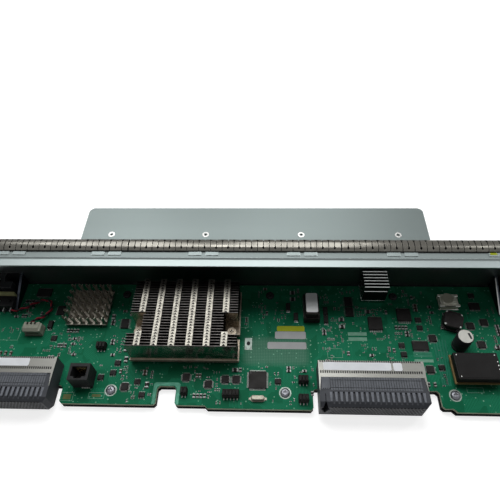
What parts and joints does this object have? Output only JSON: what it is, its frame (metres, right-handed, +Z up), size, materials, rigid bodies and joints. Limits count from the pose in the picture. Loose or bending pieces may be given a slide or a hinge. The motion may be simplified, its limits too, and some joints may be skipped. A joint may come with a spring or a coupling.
{
  "type": "switch fabric card",
  "caption": "Plug-in chassis card: green board on a metal tray with finned heat sink, backplane connectors, faceplate with finger gasket, ejector levers and captive screws.",
  "frame": {"origin": "on the underside of the carrier tray, midway along the card", "axes": "+X along the card to the right with the faceplate away from the viewer, +Y from the backplane edge towards the faceplate, +Z up from the component side"},
  "size_m": [0.504, 0.1568, 0.0636],
  "materials": {
    "zinc_sheet": "dull zinc-plated sheet",
    "black_coat": "black coat",
    "spring_metal": "bright spring strip",
    "black_film": "matt black film",
    "green_board": "green solder mask",
    "screw_steel": "plated steel",
    "connector_plastic": "black moulding",
    "shield_metal": "tinned sheet",
    "sink_metal": "bare aluminium",
    "anodised_metal": "dull anodised",
    "chip_plastic": "moulded package",
    "tan_moulding": "tan moulding",
    "bright_pins": "plated contacts",
    "crystal_metal": "pale drawn can",
    "can_metal": "drawn can",
    "lead_sheath": "red and black insulation",
    "white_plastic": "white moulding",
    "pale_plate": "pale yellow sheet",
    "bracket_steel": "zinc-plated steel",
    "lever_finish": "black"
  },
  "bodies": {
    "card": {"faceplate": "zinc_sheet", "shelf_plate": "zinc_sheet", "carrier_tray": "black_coat", "emi_gasket": "spring_metal", "insulating_film": "black_film", "circuit_board": "green_board", "board_standoffs": "screw_steel", "board_screws": "screw_steel", "main_sink_screws": "screw_steel", "left_hinge_pin": "screw_steel", "right_hinge_pin": "screw_steel", "left_connector_housing": "connector_plastic", "right_connector_housing": "connector_plastic", "left_connector_wafers": "connector_plastic", "right_connector_wafers": "connector_plastic", "jack_housing": "connector_plastic", "header_mouldings": "connector_plastic", "memory_socket": "connector_plastic", "lead_header": "connector_plastic", "left_connector_shield": "shield_metal", "right_connector_shield": "shield_metal", "shielded_coil": "shield_metal", "main_sink_base": "sink_metal", "main_sink_fins": "sink_metal", "finned_sink": "sink_metal", "pin_sink": "anodised_metal", "fabric_chip": "chip_plastic", "pin_sink_chip": "chip_plastic", "finned_sink_chip": "chip_plastic", "quad_flat_chip": "chip_plastic", "small_chips": "chip_plastic", "memory_chip": "chip_plastic", "power_inductor": "chip_plastic", "power_module_core": "chip_plastic", "switch_body": "chip_plastic", "tantalum_capacitors": "tan_moulding", "power_module_board": "tan_moulding", "jack_contacts": "bright_pins", "header_feet": "bright_pins", "power_module_pins": "bright_pins", "switch_terminals": "bright_pins", "crystal_can": "crystal_metal", "capacitor_can": "can_metal", "switch_lead": "lead_sheath", "lead_plug": "white_plastic", "switch_plate": "pale_plate", "left_lever_bracket": "bracket_steel", "right_lever_bracket": "bracket_steel"},
    "left_lever": {"left_lever": "lever_finish"},
    "right_lever": {"right_lever": "lever_finish"},
    "left_screw": {"left_captive_screw": "screw_steel"},
    "right_screw": {"right_captive_screw": "screw_steel"},
    "plunger": {"switch_plunger": "white_plastic"}
  },
  "joints": [
    {"name": "left_lever_hinge", "type": "hinge", "parent": "card", "child": "left_lever", "pos_m": [-0.226, 0.047, 0.0155], "axis": [0, 0, 1], "range_deg": [0, 70]},
    {"name": "right_lever_hinge", "type": "hinge", "parent": "card", "child": "right_lever", "pos_m": [0.226, 0.047, 0.0155], "axis": [0, 0, -1], "range_deg": [0, 70]},
    {"name": "left_screw_turn", "type": "hinge", "parent": "card", "child": "left_screw", "pos_m": [-0.244, 0.0575, 0.051], "axis": [0, 1, 0], "continuous": true},
    {"name": "right_screw_turn", "type": "hinge", "parent": "card", "child": "right_screw", "pos_m": [0.244, 0.0575, 0.051], "axis": [0, 1, 0], "continuous": true},
    {"name": "plunger_press", "type": "slide", "parent": "card", "child": "plunger", "axis": [0, -1, 0], "range_m": [0, 0.001], "stiffness_N_per_m": 400}
  ]
}
